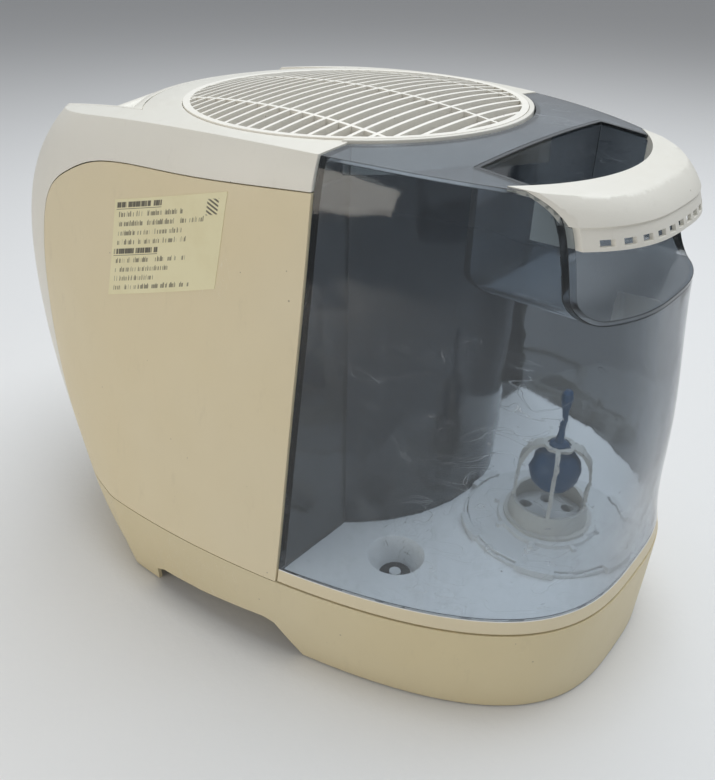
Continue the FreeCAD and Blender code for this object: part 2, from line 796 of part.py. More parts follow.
def grip_shape():
    """Handle: a flared crown over the tank's corners and a slotted skirt inside the pocket."""
    half, low, crease = size("grip_half"), size("grip_bottom"), size("grip_crease")
    web = 2.5
    crown_zone = prism([Vector(x, y, crease) for x, y in GRIP_PLAN], FAR, Z)
    skirt_zone = slab((-half, 120.0, low), (half, FAR, crease))
    crown_part = crowned(loft(BODY_LEVELS, -1.2)).common(crown_zone)
    skirt_part = loft(BODY_LEVELS, -0.2).common(skirt_zone)
    outside = crown_part.fuse(skirt_part).cut(grip_edge(0.0))
    core = crowned(loft(BODY_LEVELS, 1.8), 3.0)
    middle_bay = slab((web - half, 120.0, low - 1.0), (half - web, FAR, FAR)).cut(grip_edge(2.6))
    end_bays = slab((-FAR, 120.0, low), (FAR, FAR, FAR)).cut(slab((-half, 0, 0), (half, FAR, FAR)))
    shell = outside.cut(core.common(middle_bay)).cut(core.common(end_bays))
    slot_count, slot_half = 12, 3.0
    for i in range(slot_count):
        x = -half + 9.0 + i * (2 * half - 18.0) / (slot_count - 1)
        slot = slab((x - slot_half, 150.0, low + 1.8), (x + slot_half, FAR, low + 5.0))
        shell = shell.cut(slot.cut(grip_edge(3.0)))
    return shell


grip = grip_shape()
keep(feature("tank_skin", tank_shell_shape().cut(grip)), "tank_shell")
keep(feature("pocket_liner", tank_pocket_shape().cut(grip)), "tank_pocket")
keep(feature("tank_plate", tank_floor_shape()), "tank_floor")
keep(feature("grip", grip), "tank_handle")


def collar_shape():
    """Bayonet ring round the cap, with lugs and notches."""
    cap_y = size("cap_y")
    low, high = FLOOR_TOP, FLOOR_TOP + size("collar_height")
    collar = upright(size("collar_outer") - 2.2, low, low + 2.4, 0, cap_y)
    lug_count = 6
    for i in range(lug_count):
        lug = slab((0, -11.0, low), (size("collar_outer"), 11.0, high))
        lug = lug.common(upright(size("collar_outer"), 0, FAR))
        lug.rotate(Vector(0, 0, 0), Z, 20.0 + i * 60.0)
        lug.translate(Vector(0, cap_y, 0))
        collar = collar.fuse(lug)
    collar = collar.cut(upright(size("collar_inner"), 0, FAR, 0, cap_y))
    for i in range(lug_count):
        notch = slab((40.0, -3.0, low + 1.6), (70.0, 3.0, high + 1.0))
        notch.rotate(Vector(0, 0, 0), Z, 50.0 + i * 60.0)
        notch.translate(Vector(0, cap_y, 0))
        collar = collar.cut(notch)
    return collar.removeSplitter()


keep(feature("collar", collar_shape()), "cap_collar")

CAP_LOW, CAP_HIGH, STEP_HIGH = 60.0, 77.0, 80.0


def cap_shape():
    """Screw-out disc with a skirt, a nubbed ring on top and a finger bar below."""
    cap_y = size("cap_y")
    disc = upright(size("cap_radius"), CAP_LOW, CAP_HIGH, 0, cap_y)
    disc = disc.cut(upright(size("cap_radius") - 3.0, 0, CAP_HIGH - 3.0, 0, cap_y))
    disc = disc.fuse(slab((-34.0, cap_y - 3.0, CAP_LOW), (34.0, cap_y + 3.0, CAP_HIGH - 2.0)))
    radius = size("step_radius")
    step = upright(radius, CAP_HIGH - 0.5, STEP_HIGH, 0, cap_y)
    nub_count = 8
    for i in range(nub_count):
        nub = slab((radius - 2.0, -1.4, CAP_HIGH - 0.5), (radius + 3.6, 1.4, STEP_HIGH - 0.6))
        nub.rotate(Vector(0, 0, 0), Z, 12.0 + i * 360.0 / nub_count)
        nub.translate(Vector(0, cap_y, 0))
        step = step.fuse(nub)
    cap = disc.fuse(step)
    for i in range(6):
        turn = math.radians(60.0 * i + 30.0)
        x, y = 15.0 * math.cos(turn), cap_y + 15.0 * math.sin(turn)
        cap = cap.cut(upright(3.5, CAP_LOW, FAR, x, y))
    return cap.removeSplitter()


keep(feature("cap", cap_shape()), "tank_cap")
keep(
    ring("gasket", "Sizes.cap_radius - 0.5", "Sizes.cap_radius - 4", 2.0, (0, "Sizes.cap_y", CAP_LOW - 2.0)),
    "cap_gasket",
)


def cage_shape():
    """Float cage: a tapered foot, four curved ribs and a ring round the stem."""
    low, foot_top, top = STEP_HIGH, 93.0, size("cage_top")
    radius = size("cage_radius")
    height = foot_top - low
    foot = Part.makeCone(radius, radius - 2.4, height, Vector(0, 0, low), Z)
    foot = foot.fuse(Part.makeCylinder(radius + 2.2, 2.0, Vector(0, 0, low), Z))
    foot = foot.cut(Part.makeCone(radius - 2.2, radius - 4.6, height, Vector(0, 0, low), Z))
    for angle, width in ((24.0, 2.4), (114.0, 7.5), (204.0, 2.4), (294.0, 7.5)):
        foot = foot.fuse(cage_rib(width, foot_top, top).rotated(Vector(0, 0, 0), Z, angle))
    collar = Part.makeCylinder(9.2, 1.8, Vector(0, 0, top - 1.8), Z)
    collar = collar.cut(Part.makeCylinder(6.8, 9.0, Vector(0, 0, top - 6.0), Z))
    foot = foot.fuse(collar)
    foot.translate(Vector(0, size("cap_y"), 0))
    return foot.removeSplitter()


def cage_rib(width, low, top):
    """Rib that rises from the cage's foot and bends in over the float."""
    outer = [(22.6, low - 4.0), (22.6, low + 8.0), (22.0, low + 20.0), (20.2, top - 11.0),
             (16.4, top - 4.4), (8.6, top)]
    inner = [(20.6, low - 4.0), (20.6, low + 8.0), (20.0, low + 20.0), (18.2, top - 12.0),
             (14.9, top - 6.2), (8.6, top - 1.8)]
    sides = []
    for chain in (outer, inner):
        curve = Part.BSplineCurve()
        curve.interpolate([Vector(x, 0, z) for x, z in chain])
        sides.append(curve)
    foot = Part.makeLine(sides[1].StartPoint, sides[0].StartPoint)
    tip = Part.makeLine(sides[0].EndPoint, sides[1].EndPoint)
    wire = Part.Wire(Part.sortEdges([foot, sides[0].toShape(), tip, sides[1].toShape()])[0])
    rib = Part.Face(wire).extrude(Y * width)
    rib.translate(Vector(0, -width / 2, 0))
    return rib


keep(feature("cage", cage_shape()), "float_cage")

FLOAT_Z = size("float_height")
ball = primitive("Sphere", "ball_sphere", {"Radius": "Sizes.float_radius"},
                 (0, "Sizes.cap_y", "Sizes.float_height"))
stem_seat = cylinder("stem_seat", 2.6, 10.0, (0, "Sizes.cap_y", FLOAT_Z + size("float_radius") - 0.3))
keep(cut("ball", ball, stem_seat), "float_ball")
keep(
    turned(
        "stem",
        [(0.0, 0.0), (2.6, 0.0), (2.6, 2.2), (6.2, 2.2), (5.9, 3.2), (3.2, 5.0), (2.1, 13.0), (2.2, 26.0),
         (3.6, 34.0), (3.3, 37.5), (1.8, 39.3), (0.0, 39.7)],
        (0, "Sizes.cap_y", FLOAT_Z + size("float_radius") - 0.3),
    ),
    "float_stem",
)


# ---- outlet valve in the well -----------------------------------------------------------------
VALVE_Z = FLOOR_TOP - size("well_depth")
WELL_AT = ("Sizes.well_x", "Sizes.well_y")
keep(
    ring("seal", 9.6, 2.5, 2.0, (*WELL_AT, VALVE_Z + 0.3)),
    "valve_seal",
)
stem_low = cylinder("valve_rod", 2.5, 12.5, (*WELL_AT, VALVE_Z - 9.2))
stem_cap = cylinder("valve_button", 3.4, 1.6, (*WELL_AT, VALVE_Z + 2.3))
keep(fuse("valve_whole", stem_low, stem_cap), "valve_plunger")


def spring_shape():
    """Coil round the rod under the well, as one closed spiral wire."""
    wire_radius, coil_radius, pitch, length = 0.35, 3.6, 1.5, 4.8
    helix = Part.makeHelix(pitch, length, coil_radius)
    start = Vector(coil_radius, 0, 0)
    profile = Part.Wire(Part.makeCircle(wire_radius, start, Y))
    coil = Part.Wire(helix.Edges).makePipeShell([profile], True, True)
    coil.translate(Vector(size("well_x"), size("well_y"), VALVE_Z - 7.6))
    return coil


keep(feature("spring", spring_shape()), "valve_spring")
keep(
    ring("clip", 4.4, 2.5, 1.0, (*WELL_AT, VALVE_Z - 9.2)),
    "valve_clip",
)


# ---- supply cord ------------------------------------------------------------------------------
CORD_Z = size("cord_z")
HANK_TURN = Rotation(Z, -10.4)
HANK_AT = Vector(-251.0, 92.0, 1.0)


def beside_hank(x, y, z):
    """Point given in the hank's own frame."""
    return HANK_AT + HANK_TURN.multVec(Vector(x, y, z))


CORD_ROUTE = [
    GLAND_AT - X * 38.0,
    Vector(-200.0, -74.5, 16.0),
    Vector(-230.0, -71.0, 8.0),
    Vector(-263.0, -61.0, CORD_Z),
    Vector(-299.0, -42.0, CORD_Z),
    Vector(-328.0, -15.0, CORD_Z),
    Vector(-341.0, 17.0, CORD_Z),
    Vector(-336.0, 47.0, CORD_Z),
    Vector(-314.0, 63.0, CORD_Z + 1.5),
    beside_hank(-40.0, -26.0, 6.0),
    beside_hank(-20.0, -26.0, 8.0),
]
ARC_SHARE = 0.45


def cord_path(points):
    """Straight runs joined by tangent arcs, one arc at each inner point."""
    edges, start = [], points[0]
    for before, corner, after in zip(points, points[1:], points[2:]):
        back, ahead = (before - corner), (after - corner)
        shorter = min(back.Length, ahead.Length)
        back.normalize()
        ahead.normalize()
        half_turn = (math.pi - back.getAngle(ahead)) / 2
        trim = ARC_SHARE * shorter
        radius = trim / math.tan(half_turn)
        print("cord radius %.1f mm" % radius)
        enter, leave = corner + back * trim, corner + ahead * trim
        middle_way = (back + ahead).normalize()
        sag = radius / math.cos(half_turn) - radius
        edges.append(Part.LineSegment(start, enter).toShape())
        edges.append(Part.Arc(enter, corner + middle_way * sag, leave).toShape())
        start = leave
    edges.append(Part.LineSegment(start, points[-1]).toShape())
    return Part.Wire(edges)


def cord_shape():
    path = cord_path(CORD_ROUTE)
    heading = (CORD_ROUTE[1] - CORD_ROUTE[0]).normalize()
    profile = Part.Wire(Part.makeCircle(size("cord_radius"), CORD_ROUTE[0], heading))
    tube = path.makePipeShell([profile], True, True)
    expected = math.pi * size("cord_radius") ** 2 * path.Length
    print("cord length %.1f mm, volume %.0f of %.0f mm3" % (path.Length, tube.Volume, expected))
    return tube


gland = turned(
    "gland",
    [(0.0, 0.0), (8.0, 0.0), (8.0, 3.0), (GLAND_RADIUS, 3.0), (GLAND_RADIUS, 17.0), (3.6, 38.0), (0.0, 38.0)],
    tuple(GLAND_AT), Rotation(Y, -90),
)
keep(gland, "cord_gland")
keep(feature("cord", cord_shape()), "power_cord")


def stadium(length, width, height, edge):
    """Flat bundle with round ends and soft edges, long way along Y."""
    radius = width / 2
    half = length / 2 - radius
    core = Part.makeBox(width, 2 * half, height, Vector(-radius, -half, 0))
    for y in (-half, half):
        core = core.fuse(Part.makeCylinder(radius, height, Vector(0, y, 0), Z))
    core = core.removeSplitter()
    rims = [e for e in core.Edges if e.BoundBox.ZLength < 0.01]
    return core.makeFillet(edge, rims)


hank_solid = stadium(size("hank_length"), size("hank_width"), size("hank_height"), 5.0)
keep(feature("hank", hank_solid, tuple(HANK_AT), HANK_TURN), "cord_hank")


def tie_shape():
    width, height = size("hank_width") + 2.4, size("hank_height") + 2.0
    band = Part.makeBox(width, 6.0, height, Vector(-width / 2, 14.0, -0.9))
    return band.cut(hank_solid)


keep(feature("tie", tie_shape(), tuple(HANK_AT), HANK_TURN), "cord_tie")


def plug_shape():
    """Moulded plug with a tapered neck, lying beside the hank."""
    neck = Part.makeCone(3.0, 5.2, 14.0, Vector(20.0, 42.0, 7.5), X)
    grip_body = Part.makeBox(24.0, 24.0, 14.0, Vector(34.0, 30.0, 0.5))
    upright_edges = [e for e in grip_body.Edges if runs_along(e, Z)]
    grip_body = grip_body.makeFillet(5.0, upright_edges)
    return neck.fuse(grip_body).removeSplitter()


keep(feature("plug", plug_shape(), tuple(HANK_AT), HANK_TURN), "plug")


def blades_shape():
    blades = [Part.makeBox(17.0, 1.5, 6.3, Vector(58.0, 42.0 + y - 0.75, 4.35)) for y in (-6.35, 6.35)]
    return Part.makeCompound(blades)


keep(feature("blades", blades_shape(), tuple(HANK_AT), HANK_TURN), "plug_blades")
keep(feature("paper_label", label_shape()), "side_label")


# ---- check and write --------------------------------------------------------------------------
doc.recompute()
for item in doc.Objects:
    if "Invalid" in item.State or "Error" in item.State:
        raise RuntimeError("%s failed: %s" % (item.Name, item.State))
os.makedirs("parts", exist_ok=True)
for node in NODES:
    if node.Shape.isNull() or not node.Shape.isValid():
        raise RuntimeError(node.Label + " has no valid shape")
    print("%-18s solids %d  volume %.1f cm3" % (node.Label, len(node.Shape.Solids), node.Shape.Volume / 1000))
    node.Shape.exportStep("parts/%s.step" % node.Label)
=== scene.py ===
"""Looks of a cool mist humidifier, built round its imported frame.

Metres, +Z up, controls at -Y, tank at +Y. Each operator makes or finishes one group of pieces.
"""
import math
import random

import bmesh
import bpy
from mathutils import Matrix, Vector


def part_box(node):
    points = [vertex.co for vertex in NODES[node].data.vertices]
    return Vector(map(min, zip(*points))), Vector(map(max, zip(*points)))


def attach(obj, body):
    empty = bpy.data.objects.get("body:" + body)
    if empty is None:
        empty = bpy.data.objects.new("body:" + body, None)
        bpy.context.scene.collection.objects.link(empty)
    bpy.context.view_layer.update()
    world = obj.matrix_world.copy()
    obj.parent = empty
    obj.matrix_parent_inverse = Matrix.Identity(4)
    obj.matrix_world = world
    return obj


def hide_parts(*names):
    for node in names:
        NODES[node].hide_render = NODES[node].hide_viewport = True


bl_info = {
    "name": "Cool Mist Humidifier",
    "version": (1, 0, 0),
    "blender": (4, 5, 0),
    "location": "View3D > Sidebar > Humidifier",
    "description": "Builds the visible pieces and finishes of a cool mist humidifier",
    "category": "Object",
}

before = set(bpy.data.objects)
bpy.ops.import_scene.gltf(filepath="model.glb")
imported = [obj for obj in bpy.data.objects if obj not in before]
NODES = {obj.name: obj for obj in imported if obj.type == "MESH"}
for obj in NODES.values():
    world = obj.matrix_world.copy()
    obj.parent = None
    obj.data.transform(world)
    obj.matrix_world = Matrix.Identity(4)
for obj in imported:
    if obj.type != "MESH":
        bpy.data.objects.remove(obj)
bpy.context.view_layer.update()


# ---- shader graph ------------------------------------------------------------------------------
# Sockets of a Mix node set to colour: share, first and second colour, and the result.
MIX_INPUTS = (0, 6, 7)
MIX_OUTPUT = 2


class Wire:
    """An output of a shader node that can be used in Python arithmetic."""

    def __init__(self, shader, socket):
        self.shader = shader
        self.socket = socket

    def _math(self, operation, *values):
        inputs = dict(enumerate(values))
        return self.shader.node("ShaderNodeMath", {"operation": operation}, inputs)

    def __add__(self, other):
        return self._math("ADD", self, other)

    def __sub__(self, other):
        return self._math("SUBTRACT", self, other)

    def __mul__(self, other):
        return self._math("MULTIPLY", self, other)

    def __truediv__(self, other):
        return self._math("DIVIDE", self, other)

    def __pow__(self, other):
        return self._math("POWER", self, other)

    def __rsub__(self, other):
        return self._math("SUBTRACT", other, self)

    __radd__ = __add__

    def __abs__(self):
        return self._math("ABSOLUTE", self)

    def either(self, other):
        return self._math("MAXIMUM", self, other)

    def wave(self):
        return self._math("SINE", self)

    def floor(self):
        return self._math("FLOOR", self)

    def repeat(self, step):
        """Distance past the last multiple of step."""
        return self._math("FLOORED_MODULO", self, step)

    def step(self, low, high):
        """Smooth 0 to 1 as the value goes from low to high; falls when high is below low."""
        values = {"Value": self, "From Min": min(low, high), "From Max": max(low, high)}
        if high < low:
            values.update({"To Min": 1.0, "To Max": 0.0})
        settings = {"interpolation_type": "SMOOTHSTEP"}
        return self.shader.node("ShaderNodeMapRange", settings, values)


class Shader:
    """A material and the nodes that make it."""

    def __init__(self, name):
        self.material = bpy.data.materials.new(name)
        self.material.use_nodes = True
        self.tree = self.material.node_tree
        self.tree.nodes.clear()
        coordinates = self.tree.nodes.new("ShaderNodeTexCoord")
        self.place = Wire(self, coordinates.outputs["Object"])
        self.normal = Wire(self, coordinates.outputs["Normal"])

    def node(self, kind, settings=None, values=None, output=0):
        """New node: its settings come first, then the values or links of its inputs."""
        item = self.tree.nodes.new(kind)
        for key, value in (settings or {}).items():
            setattr(item, key, value)
        for key, value in (values or {}).items():
            if isinstance(value, Wire):
                self.tree.links.new(value.socket, item.inputs[key])
            elif value is not None:
                item.inputs[key].default_value = value
        return Wire(self, item.outputs[output])

    def scaled(self, x, y, z):
        """Object coordinates stretched along the axes."""
        values = {0: self.place, 1: (x, y, z)}
        return self.node("ShaderNodeVectorMath", {"operation": "MULTIPLY"}, values)

    def along(self, axis):
        return self.node("ShaderNodeSeparateXYZ", None, {0: self.place}, axis)

    def facing_up(self):
        return self.node("ShaderNodeSeparateXYZ", None, {0: self.normal}, "Z")

    def noise(self, scale, detail=2.0, roughness=0.5, at=None, distortion=0.0):
        values = {
            "Vector": at or self.place, "Scale": scale, "Detail": detail,
            "Roughness": roughness, "Distortion": distortion,
        }
        return self.node("ShaderNodeTexNoise", None, values, "Fac")

    def cells(self, scale, at, output="Distance"):
        return self.node("ShaderNodeTexVoronoi", None, {"Vector": at, "Scale": scale}, output)

    def specks(self, scale, size, share, seed=0.0):
        """Sparse round spots: share of the cells that hold one, size as a share of the cell."""
        values = {0: self.place, 1: (seed, seed, seed)}
        shifted = self.node("ShaderNodeVectorMath", {"operation": "ADD"}, values)
        distance = self.cells(scale, shifted)
        colour = self.cells(scale, shifted, "Color")
        chance = self.node("ShaderNodeSeparateColor", None, {0: colour}, "Red")
        return distance.step(size, size * 0.5) * chance.step(1.0 - share, 1.0 - share + 0.02)

    def mix(self, share, first, second):
        """Colour that goes from first to second as share goes from 0 to 1."""
        item = self.tree.nodes.new("ShaderNodeMix")
        item.data_type = "RGBA"
        sockets = [item.inputs[index] for index in MIX_INPUTS]
        for socket, value in zip(sockets, (share, first, second)):
            if isinstance(value, Wire):
                self.tree.links.new(value.socket, socket)
            elif isinstance(value, float):
                socket.default_value = value
            else:
                socket.default_value = (*value[:3], 1.0)
        return Wire(self, item.outputs[MIX_OUTPUT])

    def bump(self, height, depth, normal=None):
        values = {"Height": height, "Distance": depth, "Strength": 1.0, "Normal": normal}
        return self.node("ShaderNodeBump", None, values)

    def surface(self, **inputs):
        """Principled surface; an input's name has underscores for its spaces."""
        values = {}
        for key, value in inputs.items():
            if isinstance(value, tuple):
                value = (*value[:3], 1.0)
            values[key.replace("_", " ")] = value
        return self.node("ShaderNodeBsdfPrincipled", None, values)

    def output(self, shader):
        """Ends the graph and gives its material."""
        item = self.tree.nodes.new("ShaderNodeOutputMaterial")
        self.tree.links.new(shader.socket, item.inputs["Surface"])
        return self.material


def darker(colour, share):
    return tuple(c * share for c in colour[:3])


def blended(colour, other, share):
    return tuple(a + (b - a) * share for a, b in zip(colour[:3], other[:3]))


# ---- finishes ----------------------------------------------------------------------------------
WHITE = (1.0, 1.0, 1.0)
DUST = (0.80, 0.79, 0.76)
GRIME = (0.30, 0.25, 0.17)
DARK_SPECK = (0.16, 0.12, 0.08)
CHALK = (0.86, 0.87, 0.86)
WATER_FLECK = (0.10, 0.09, 0.08)
# pale film colour for the tank's hard-water haze and for the painted sheen on its top faces
TANK_HAZE_AND_SHEEN = (0.62, 0.66, 0.70)
EDGE_NICK = (0.45, 0.48, 0.52)
RUBBER_BLOOM = (0.5, 0.5, 0.48)
TARNISH = (0.25, 0.22, 0.18)
MINERAL_CRUST = (0.72, 0.62, 0.42)
CORD_GRIME = (0.5, 0.45, 0.36)
PAPER_STAIN = (0.55, 0.42, 0.18)
YELLOWED = (0.97, 0.92, 0.78)
PLASTIC_IOR = 1.48
CLEAR_IOR = 1.45
EDGE_IOR = 1.49
SOFT_IOR = 1.5


def moulded_plastic(name, colour, gloss, yellowing, dust, scuffs=1.0):
    """Aged moulded plastic: uneven tone, fine spark grain, flow marks, specks and dust."""
    s = Shader(name)
    aged = tuple(c * share for c, share in zip(colour, YELLOWED))
    tone = s.noise(5.0, 3.0, 0.55).step(0.3, 0.72)
    cloud = s.noise(38.0, 4.0, 0.6)
    grime = s.noise(90.0, 6.0, 0.7, s.scaled(1.0, 1.0, 0.35)).step(0.56, 0.8)
    up = s.facing_up().step(0.35, 0.95)
    dusty = up * s.noise(150.0, 4.0, 0.75).step(0.42, 0.75) * dust
    dots = s.specks(75.0, 0.055, 0.16).either(s.specks(170.0, 0.08, 0.08, 3.1))
    scratch_field = s.noise(26.0, 2.0, 0.5, s.scaled(1.0, 9.0, 2.0), 0.6)
    scratch = abs(scratch_field - 0.5).step(0.006, 0.0)
    scratch = scratch * s.noise(11.0, 1.0).step(0.56, 0.66) * scuffs
    base = s.mix(tone * yellowing, colour, aged)
    base = s.mix(cloud.step(0.35, 0.8) * 0.10, base, darker(colour, 0.86))
    base = s.mix(grime * 0.12, base, GRIME)
    base = s.mix(dusty * 0.35, base, DUST)
    base = s.mix(scratch * 0.30, base, blended(colour, WHITE, 0.5))
    base = s.mix(dots * 0.55, base, DARK_SPECK)
    rough = gloss + cloud * 0.12 + dusty * 0.22 + scratch * 0.15 - 0.04
    spark = s.noise(1500.0, 2.0, 0.6)
    flow = s.noise(28.0, 2.0)
    height = s.bump(flow, 0.00035)
    height = s.bump(spark - scratch * 0.6 + dots * 0.5, 0.00006, height)
    return s.output(s.surface(
        Base_Color=base, Roughness=rough, Normal=height, IOR=PLASTIC_IOR,
        Coat_Weight=0.06, Coat_Roughness=0.35,
    ))


def water_stained_plastic(name, colour, dry=None, waterline=0.0, well=(0.0, 0.0, 0.0)):
    """Plastic that stands in hard water: chalky tide marks, dark flecks and fine scratches.

    Below the waterline height it keeps the dry colour when one is given, except inside the well,
    which is a middle (x, y) and a radius.
    """
    s = Shader(name)
    cloud = s.noise(22.0, 4.0, 0.62)
    tide_field = s.noise(17.0, 3.0, 0.5, distortion=1.2)
    tide = abs(tide_field - 0.52).step(0.012, 0.0)
    chalk = s.noise(70.0, 6.0, 0.75).step(0.48, 0.75)
    flecks = s.specks(120.0, 0.11, 0.10).either(s.specks(46.0, 0.05, 0.22, 1.7))
    hair_field = s.noise(34.0, 1.5, 0.4, s.scaled(1.0, 3.0, 1.0), 1.5)
    hairs = abs(hair_field - 0.5).step(0.004, 0.0)
    hairs = hairs * s.noise(13.0, 1.0).step(0.58, 0.64)
    base = s.mix(cloud.step(0.3, 0.75) * 0.3, colour, darker(colour, 0.86))
    base = s.mix(chalk * 0.30, base, CHALK)
    base = s.mix(tide * 0.10, base, darker(colour, 0.62))
    base = s.mix(flecks.either(hairs) * 0.75, base, WATER_FLECK)
    if dry:
        dry_tone = s.mix(cloud.step(0.3, 0.75) * 0.3, dry, darker(dry, 0.93))
        off_x, off_y = s.along("X") - well[0], s.along("Y") - well[1]
        in_well = ((off_x * off_x + off_y * off_y) ** 0.5).step(well[2], well[2] - 0.001)
        above = s.along("Z").step(waterline - 0.0004, waterline)
        base = s.mix(above.either(in_well), dry_tone, base)
    rough = 0.36 + chalk * 0.25 + cloud * 0.1
    height = s.bump(s.noise(1300.0, 2.0) * 0.6 + chalk * 0.8 + flecks, 0.00007)
    return s.output(s.surface(Base_Color=base, Roughness=rough, Normal=height, IOR=PLASTIC_IOR))


def smoke_plastic(name, tint):
    """Clear smoke-tinted plastic: hard-water haze, fine scratches, darker where seen edge on, painted shade
    towards -X, and a pale film on top faces that is partly settled dust and partly painted sheen.
    """
    s = Shader(name)
    height_z = s.along("Z")
    haze = s.noise(55.0, 5.0, 0.7).step(0.5, 0.8) * height_z.step(0.17, 0.075)
    drips = s.noise(60.0, 3.0, 0.6, s.scaled(1.0, 1.0, 0.05)).step(0.60, 0.74)
    drips = drips * s.noise(9.0, 2.0).step(0.42, 0.62)
    hair_field = s.noise(30.0, 1.0, 0.4, s.scaled(1.0, 1.0, 2.4), 1.1)
    hair = abs(hair_field - 0.5).step(0.0035, 0.0)
    hair = hair * s.noise(8.0, 1.0).step(0.5, 0.62)
    dots = s.specks(140.0, 0.09, 0.07)
    smear = s.noise(14.0, 3.0, 0.6)
    tinted = s.mix(smear.step(0.3, 0.7) * 0.25, tint, darker(tint, 0.86))
    edge_on = s.node("ShaderNodeLayerWeight", None, {"Blend": 0.5}, "Facing")
    tinted = s.mix(edge_on ** 1.5, tinted, darker(tint, 0.08))
    # painted shade: the tint darkens towards -X, the tank's far side
    tinted = s.mix(s.along("X").step(-0.03, -0.10) * 0.85, tinted, darker(tint, 0.12))
    # partly settled dust, partly painted sheen: up-facing surfaces get a pale film that stands in for the
    # sky's reflection
    settled_dust_and_sheen = s.facing_up().step(0.80, 0.97) * (0.10 + smear * 0.08)
    veil_and_sheen = haze * 0.16 + drips * 0.07 + hair * 0.28 + dots * 0.3 + settled_dust_and_sheen + 0.012
    rough = 0.035 + smear.step(0.45, 0.75) * 0.05
    ripple = s.bump(s.noise(16.0, 2.0), 0.0009)
    ripple = s.bump(s.noise(420.0, 2.0) + hair * 2.0, 0.000012, ripple)
    clear = s.surface(
        Base_Color=tinted, Roughness=rough, Normal=ripple, IOR=CLEAR_IOR,
        Transmission_Weight=1.0,
    )
    chalky_and_sheen = s.surface(Base_Color=TANK_HAZE_AND_SHEEN, Roughness=0.6, Normal=ripple)
    solid = s.node("ShaderNodeMixShader", None, {0: veil_and_sheen, 1: clear, 2: chalky_and_sheen})
    one_face = tuple(c ** 0.3 for c in tint[:3])
    through = s.node("ShaderNodeBsdfTransparent", None, {"Color": (*one_face, 1.0)})
    lamp_ray = s.node("ShaderNodeLightPath", None, None, "Is Shadow Ray")
    return s.output(s.node("ShaderNodeMixShader", None, {0: lamp_ray, 1: solid, 2: through}))


def smoke_edge(name, tint):
    """Cut and moulded edges of the smoke plastic, where the tint is deep enough to look black."""
    s = Shader(name)
    cloud = s.noise(70.0, 3.0, 0.6)
    base = s.mix(cloud, darker(tint, 0.035), darker(tint, 0.075))
    nicks = s.specks(210.0, 0.12, 0.08)
    base = s.mix(nicks * 0.5, base, EDGE_NICK)
    height = s.bump(s.noise(260.0, 2.0), 0.00004)
    rough = 0.10 + cloud * 0.08
    return s.output(s.surface(Base_Color=base, Roughness=rough, Normal=height, IOR=EDGE_IOR))


def soft_rubber(name, colour):
    """Matt rubber with a pale bloom."""
    s = Shader(name)
    bloom = s.noise(60.0, 4.0, 0.7).step(0.4, 0.8)
    base = s.mix(bloom * 0.4, colour, blended(colour, RUBBER_BLOOM, 0.35))
    height = s.bump(s.noise(900.0, 2.0), 0.00008)
    rough = 0.72 + bloom * 0.15
    return s.output(s.surface(Base_Color=base, Roughness=rough, Normal=height, IOR=SOFT_IOR))


def turned_steel(name, colour, gloss=0.3):
    """Machined or plated steel with fine rings and a little tarnish."""
    s = Shader(name)
    rings = s.noise(1400.0, 1.0, 0.5, s.scaled(0.08, 0.08, 1.0))
    tarnish = s.noise(80.0, 4.0, 0.7).step(0.5, 0.8)
    base = s.mix(tarnish * 0.5, colour, TARNISH)
    rough = gloss + tarnish * 0.3 + rings * 0.1
    height = s.bump(rings, 0.00003)
    return s.output(s.surface(Base_Color=base, Roughness=rough, Metallic=1.0, Normal=height))


def wick_paper(name, colour):
    """Damp corrugated cellulose: fibre mottling and mineral crust towards the top."""
    s = Shader(name)
    fibre = s.noise(500.0, 5.0, 0.7, s.scaled(1.0, 1.0, 0.3))
    crust = s.along("Z").step(0.1, 0.2) * s.noise(90.0, 5.0, 0.7).step(0.45, 0.7)
    base = s.mix(fibre * 0.5, colour, darker(colour, 0.7))
    base = s.mix(crust * 0.6, base, MINERAL_CRUST)
    height = s.bump(fibre, 0.0004)
    return s.output(s.surface(Base_Color=base, Roughness=0.9, Normal=height))


def cord_vinyl(name, colour):
    """Soft vinyl sheath with a faint matt bloom and grime."""
    s = Shader(name)
    grime = s.noise(120.0, 4.0, 0.7).step(0.5, 0.8)
    base = s.mix(grime * 0.25, colour, CORD_GRIME)
    height = s.bump(s.noise(700.0, 2.0), 0.00006)
    rough = 0.45 + grime * 0.2
    return s.output(s.surface(Base_Color=base, Roughness=rough, Normal=height, IOR=SOFT_IOR))


def studio_floor(name, colour):
    """Faintly mottled matt floor."""
    s = Shader(name)
    mottling = s.noise(3.0, 4.0, 0.6)
    base = s.mix(mottling * 0.3, colour, darker(colour, 0.95))
    height = s.bump(s.noise(160.0, 3.0), 0.0002)
    return s.output(s.surface(Base_Color=base, Roughness=0.75, Normal=height))


# Top and bottom edges of the side label: rear and front ends as (y, z).
LABEL_TOP = (Vector((-0.062, 0.262)), Vector((0.024, 0.282)))
LABEL_BOTTOM = (Vector((-0.070, 0.204)), Vector((0.018, 0.230)))
LABEL_ROWS = 10.4
SECOND_HEADING = 5.0


def on_line(ends, value, given):
    """Other coordinate of a straight line between two points; given is 0 or 1, the known one."""
    start, end = ends
    slope = (end[1 - given] - start[1 - given]) / (end[given] - start[given])
    return (value - start[given]) * slope + start[1 - given]


